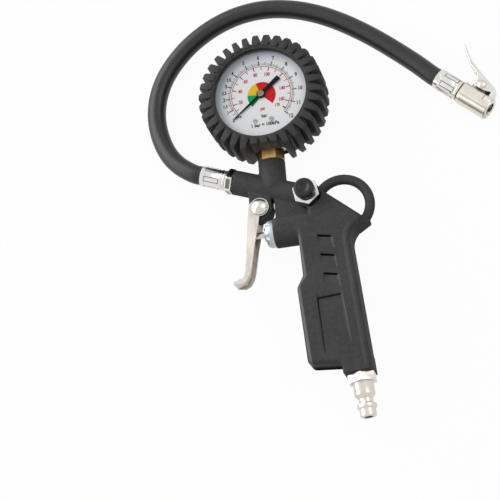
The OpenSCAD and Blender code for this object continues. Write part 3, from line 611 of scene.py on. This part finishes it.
def castCopy(node, setup):
    # the casting remeshed, smoothed so that its joints run into each other, and thinned
    material = castFinish(setup, gripPaintedLightSetup)
    piece = placePiece("castBody", tidyMesh(frame["nodes"][node].data.copy(), outward=False), "gun",
                       material, [node])
    remesh = piece.modifiers.new("skin", "REMESH")
    remesh.mode, remesh.voxel_size = "VOXEL", setup["voxel"] * mm
    smooth = piece.modifiers.new("fillets", "SMOOTH")
    smooth.factor, smooth.iterations = 0.5, setup["smoothing"]
    triangles = bakeModifiers(piece)
    if triangles > setup["mostFaces"]:
        piece.modifiers.new("thin", "DECIMATE").ratio = setup["mostFaces"] / triangles
    ease = piece.modifiers.new("ease", "SMOOTH")
    ease.factor, ease.iterations = 0.5, 1
    bakeModifiers(piece)
    piece.data.name = "castBody"
    piece.data.shade_smooth()
    piece.data.materials.clear()
    piece.data.materials.append(material)
    print("cast body,", triangles, "triangles before thinning")


castCopy("gun_body", castSetup)

dialSetup = {
    "height": 27.0,
    "printLift": 0.03,
    "black": (0.008, 0.008, 0.009),
    "red": (0.60, 0.010, 0.03),
    "green": (0.0, 0.40, 0.12),
    "yellow": (0.92, 0.62, 0.02),
    "sectorRed": (0.70, 0.010, 0.020),
    "paper": (0.97, 0.985, 1.0),
    # the colour of the painted shade at the upper left rim
    "rim": (0.55, 0.60, 0.66),
    "zeroAngle": 218.5,
    "sectorRadius": 9.1,
    "sectorHole": 0.05,
    "sectorLift": 0.015,
    "sectorMove": (0.3, -0.8),
    # ticks as inner radius, outer radius and width
    "fineTicks": (20.0, 21.5, 0.20),
    "halfTicks": (19.9, 22.0, 0.34),
    "wholeTicks": (19.8, 22.9, 0.62),
    "zeroTicks": (19.8, 22.6, 0.34),
    "zeroSpread": 2.6,
    "psiTicks": (16.8, 19.0, 0.46),
    "psiLongTicks": (16.2, 19.0, 0.60),
    "psiEndTick": (16.7, 19.0, 0.8),
    "redRing": (18.8, 19.2),
    "blackRing": (19.9, 20.1),
    "ringSpan": (225, -45),
    "ringSteps": 160,
    "barRadius": 23.9,
    "barSize": 3.6,
    "halfBarSize": 3.0,
    "psiRadius": 13.8,
    "psiSize": 3.3,
    "psiNarrow": 0.78,
    # the dial's shade: how far its centre is moved, and the radii where it starts and ends, in metres
    "shadeCentre": (0.0035, -0.0050),
    "shadeRadii": (0.0230, 0.0355),
}


def barAngle(bar):  # 22.5 degrees clockwise for each bar from 1 up; the first bar is squeezed
    return dialSetup["zeroAngle"] - (dialSetup["zeroAngle"] - 202.5) * bar if bar < 1 else 225 - 22.5 * bar


def psiAngle(psi):
    return barAngle(psi / 14.504)


def ringPatch(inner, outer, start, end, lift, steps=96):
    # flat patch between two radii and two angles
    angle = np.radians(np.linspace(start, end, steps))
    radius = np.array([inner, outer])
    points = np.stack([radius[:, None] * np.cos(angle), radius[:, None] * np.sin(angle),
                       np.full((2, steps), dialSetup["height"] + lift)], axis=-1)
    return points * mm


def tickPatches(angles, inner, outer, width):
    # one thin rectangle for each angle, from the inner to the outer radius
    a = np.radians(np.asarray(angles, float))[:, None]
    along = np.stack([np.cos(a), np.sin(a)], -1)
    across = np.stack([-np.sin(a), np.cos(a)], -1)
    r = np.array([inner, inner, outer, outer])[None, :, None]
    w = np.array([-0.5, 0.5, 0.5, -0.5])[None, :, None] * width
    flat = along * r + across * w
    height = np.full((*flat.shape[:2], 1), dialSetup["height"] + dialSetup["printLift"])
    return np.concatenate([flat, height], -1) * mm


def quadsMesh(name, patches):
    points = np.concatenate([p.reshape(-1, 3) for p in patches])
    count = len(points) // 4
    mesh = bpy.data.meshes.new(name)
    mesh.from_pydata(points.tolist(), [], np.arange(count * 4).reshape(count, 4).tolist())
    return mesh


def wordMesh(words, size, x, y, narrow=0.82, weight=0.12):
    # words as a flat mesh on the dial, centred on x and y
    curve = bpy.data.curves.new("word", "FONT")
    curve.body, curve.size = words, size * mm
    curve.align_x, curve.align_y = "CENTER", "CENTER"
    curve.resolution_u, curve.offset = 3, weight * mm
    holder = bpy.data.objects.new("word", curve)
    bpy.context.scene.collection.objects.link(holder)
    graph = bpy.context.evaluated_depsgraph_get()
    mesh = bpy.data.meshes.new_from_object(holder.evaluated_get(graph))
    bpy.data.objects.remove(holder)
    lift = (dialSetup["height"] + dialSetup["printLift"]) * mm
    mesh.transform(Matrix.Translation((x * mm, y * mm, lift)) @ Matrix.Diagonal((narrow, 1, 1, 1)))
    return mesh


def joinMeshes(name, meshes):
    work = bmesh.new()
    for mesh in meshes:
        work.from_mesh(mesh)
    joined = bpy.data.meshes.new(name)
    work.to_mesh(joined)
    work.free()
    return joined


def inkFinish(name, colour):
    made = Finish(name, Roughness=0.6, Specular_IOR_Level=0.2)
    mottle = made.noise(1200, 2).ramp(0.3, 0.7)
    made.feed("Base Color", mottle.blend(shade(colour, 0.92), shade(colour, 1.08)))
    return made.material


def dialFinish(setup):
    made = Finish("dialPaper", Specular_IOR_Level=0.3)
    x, y, _ = made.axes()
    right, fall = x - setup["shadeCentre"][0], y - setup["shadeCentre"][1]  # the shade lies on the upper left
    radius = (right * right + fall * fall).root()
    made.feed("Base Color", radius.ramp(*setup["shadeRadii"]).blend(setup["paper"], setup["rim"]))
    made.feed("Roughness", made.noise(800, 2).ramp(0.3, 0.7, 0.45, 0.58))
    return made.material


def polar(radius, angle):
    return radius * math.cos(math.radians(angle)), radius * math.sin(math.radians(angle))


def barWord(bar):  # numbers past 3.5 bar stand a little further out, and halves are smaller
    size = dialSetup["barSize"] if bar == int(bar) else dialSetup["halfBarSize"]
    radius = dialSetup["barRadius"] + min(1.2, max(0, bar - 3.5))
    return wordMesh(f"{bar:g}", size, *polar(radius, barAngle(bar)))


def psiWord(psi):
    return wordMesh(str(psi), dialSetup["psiSize"], *polar(dialSetup["psiRadius"], psiAngle(psi)),
                    dialSetup["psiNarrow"])


def dialRing(name, radii):
    patch = ringPatch(*radii, *dialSetup["ringSpan"], dialSetup["printLift"], dialSetup["ringSteps"])
    return gridMesh(name, patch)


wholeBars = [barAngle(b) for b in range(0, 13)]
halfBars = [barAngle(b + 0.5) for b in range(0, 12)]
fineBars = [barAngle(1 + b / 10) for b in range(0, 111)]
besideZero = [barAngle(0) - dialSetup["zeroSpread"], barAngle(0) + dialSetup["zeroSpread"]]
blackWords = [barWord(bar) for bar in [*range(0, 13), 1.5, 2.5, 3.5]]
blackWords += [wordMesh("bar", 3.4, 0.9, -14.8), wordMesh("1 bar = 100kPa", 3.2, 0.9, -20.7, 0.92)]
redWords = [psiWord(psi) for psi in range(20, 161, 20)]
redWords += [wordMesh("170", 2.7, *polar(13.3, psiAngle(172.5)), dialSetup["psiNarrow"]),
             wordMesh("psi", 3.1, 0.2, -9.9)]
blackTicks = quadsMesh("blackTicks", [
    tickPatches(fineBars, *dialSetup["fineTicks"]), tickPatches(halfBars, *dialSetup["halfTicks"]),
    tickPatches(wholeBars, *dialSetup["wholeTicks"]), tickPatches(besideZero, *dialSetup["zeroTicks"])])
redTicks = quadsMesh("redTicks", [
    tickPatches([psiAngle(p) for p in range(10, 171, 10)], *dialSetup["psiTicks"]),
    tickPatches([psiAngle(p) for p in range(20, 171, 20)], *dialSetup["psiLongTicks"]),
    tickPatches([psiAngle(170)], *dialSetup["psiEndTick"])])
redRing = dialRing("redRing", dialSetup["redRing"])
blackRing = dialRing("blackRing", dialSetup["blackRing"])
blackPrint = joinMeshes("dialPrintBlack", [*blackWords, blackTicks, blackRing])
redPrint = joinMeshes("dialPrintRed", [*redWords, redTicks, redRing])
placePiece("dialPrintBlack", blackPrint, "gun", inkFinish("inkBlack", dialSetup["black"]))
placePiece("dialPrintRed", redPrint, "gun", inkFinish("inkRed", dialSetup["red"]))
sectors = (
    ("Green", "green", 228, 171),
    ("Yellow", "yellow", 171, 111),
    ("Red", "sectorRed", 111, barAngle(12)),
)
for name, colour, start, end in sectors:
    patch = gridMesh("sector" + name, ringPatch(
        dialSetup["sectorHole"], dialSetup["sectorRadius"], start, end, dialSetup["sectorLift"]))
    patch.transform(Matrix.Translation((*(move * mm for move in dialSetup["sectorMove"]), 0)))
    placePiece("sector" + name, patch, "gun", inkFinish("ink" + name, dialSetup[colour]))
print("dial printed")


def lensFinish():
    # clear, with a faint veil towards its rim
    made = Finish("lensGlass", Base_Color=(0.02, 0.025, 0.03, 1), IOR=1.45)
    rim = made.node("ShaderNodeLayerWeight", {}, {"Blend": 0.25}, "Fresnel")
    made.feed("Alpha", rim.ramp(0.0, 1.0, 0.02, 0.30))
    made.feed("Roughness", made.noise(30, 2).ramp(0.3, 0.7, 0.02, 0.05))
    return made.material


plainFinishes = {
    "dial_plate": dialFinish(dialSetup),
    "dial_screws": metalFinish("screwSteel", (0.50, 0.48, 0.43), 0.3),
    "stop_pin": pinMetal,
    "pointer": pointerBlack,
    "pointer_hub": paleBrass,
    "bezel_ring": bezelBlack,
    "lens_spacer": spacerGrey,
    "gauge_lens": lensFinish(),
}
slotFinishes = {
    "nickel": nickel, "zinc": zinc, "brass": brass, "seal_rubber": sealRubber, "spring_steel": steel,
    "case_steel": steel, "bezel_black": bezelBlack, "pointer_black": pointerBlack,
}
slotOf = {s["node"]: s["material_slot"] for s in frame["record"]["subparts"]}
for node, thing in frame["nodes"].items():
    chosen = plainFinishes.get(node) or slotFinishes.get(slotOf[node])
    if chosen:
        for place in thing.material_slots:
            place.material = chosen
print("solids finished")

stageSetup = {
    "floorSize": 6.0,
    "floorDrop": 0.00015,
    "floorColour": 0.40,
    "glow": 1.06,
    "worldLight": 0.42,
    "shadow": 0.10,
}


def seenDirectly(wiring, ways):
    # 1 for the named kinds of ray, 0 for the light that falls on things
    seen = wiring.node("ShaderNodeLightPath", out=ways[0])
    for way in ways[1:]:
        seen = seen.most(wiring.node("ShaderNodeLightPath", out=way))
    return seen


seenWays = ("Is Camera Ray", "Is Glossy Ray", "Is Transmission Ray")


def makeFloor(setup):
    half, drop = setup["floorSize"] / 2, -setup["floorDrop"]
    mesh = bpy.data.meshes.new("floor")
    mesh.from_pydata([(-half, -half, drop), (half, -half, drop), (half, half, drop), (-half, half, drop)],
                     [], [(0, 1, 2, 3)])
    floor = bpy.data.objects.new("floor", mesh)
    bpy.context.scene.collection.objects.link(floor)
    material = bpy.data.materials.new("floorWhite")
    material.use_nodes = True
    material.node_tree.nodes.clear()
    wiring = Wiring(material.node_tree)
    glow = wiring.node("ShaderNodeEmission", {}, {"Color": (1, 1, 1, 1), "Strength": setup["glow"]})
    matt = wiring.node("ShaderNodeBsdfDiffuse", {}, {"Color": (*[setup["floorColour"]] * 3, 1)})
    mixed = wiring.node("ShaderNodeMixShader", {}, {
        0: seenDirectly(wiring, seenWays) * (1 - setup["shadow"]), 1: matt, 2: glow})
    wiring.tree.links.new(mixed.socket, wiring.tree.nodes.new("ShaderNodeOutputMaterial").inputs["Surface"])
    mesh.materials.append(material)


def makeWorld(setup):
    world = bpy.data.worlds.new("studio")
    bpy.context.scene.world = world
    world.use_nodes = True
    world.node_tree.nodes.clear()
    wiring = Wiring(world.node_tree)
    strength = seenDirectly(wiring, seenWays) * (1 - setup["worldLight"]) + setup["worldLight"]
    light = wiring.node("ShaderNodeBackground", {}, {"Color": (1, 1, 1, 1), "Strength": strength})
    wiring.tree.links.new(light.socket, wiring.tree.nodes.new("ShaderNodeOutputWorld").inputs["Surface"])


lampSetup = {
    # place in metres, side of the square in metres, and radiance, where 1 shows as white
    "key": {"place": (-1.0, 0.65, 0.8), "size": 1.3, "radiance": 2.8},
    "side": {"place": (-1.15, -0.25, 0.45), "size": 0.8, "radiance": 1.6},
    "fill": {"place": (0.9, 0.2, 1.1), "size": 0.8, "radiance": 1.5},
}


def makeLamps(setup):
    for name, lamp in setup.items():
        data = bpy.data.lights.new(name, "AREA")
        data.size, data.energy = lamp["size"], lamp["radiance"] * math.pi * lamp["size"] ** 2
        holder = bpy.data.objects.new(name, data)
        bpy.context.scene.collection.objects.link(holder)
        place = Vector(lamp["place"])
        aim = Vector((0, -0.06, 0)) - place
        holder.matrix_world = Matrix.Translation(place) @ aim.to_track_quat("-Z", "Y").to_matrix().to_4x4()


makeFloor(stageSetup)
makeWorld(stageSetup)
makeLamps(lampSetup)
print("stage lit")

chuckPieces = [n for n in chuckNodes if n not in edgeSetup]
chuckPieces += [n + "Soft" for n in chuckNodes if n in edgeSetup]
